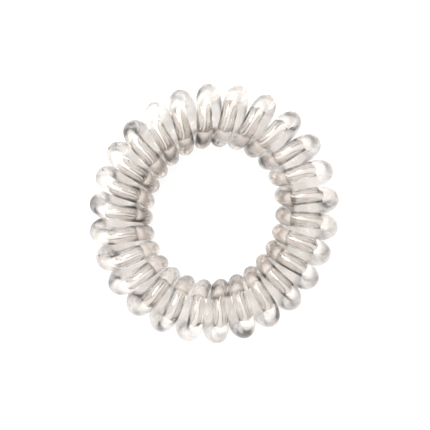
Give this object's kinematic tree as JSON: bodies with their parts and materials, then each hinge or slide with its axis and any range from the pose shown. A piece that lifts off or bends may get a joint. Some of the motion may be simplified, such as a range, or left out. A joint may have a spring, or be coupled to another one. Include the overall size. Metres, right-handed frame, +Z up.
{
  "type": "spiral hair tie",
  "caption": "Ring of clear plastic wire wound into an open spiral coil and closed on itself, stretched round a ponytail to hold hair.",
  "frame": {"origin": "on the surface that the ring lies on, under the middle of its outline", "axes": "+Z up along the axis of the hair hole, out of the side that shows; +Y along the longer width of the slightly oval ring, +X along the shorter"},
  "size_m": [0.0392, 0.0408, 0.0101],
  "materials": {
    "clear_plastic": "smooth clear flexible plastic with a faint warm tint"
  },
  "bodies": {
    "root": {"spiral_wire": "clear_plastic"}
  },
  "joints": []
}
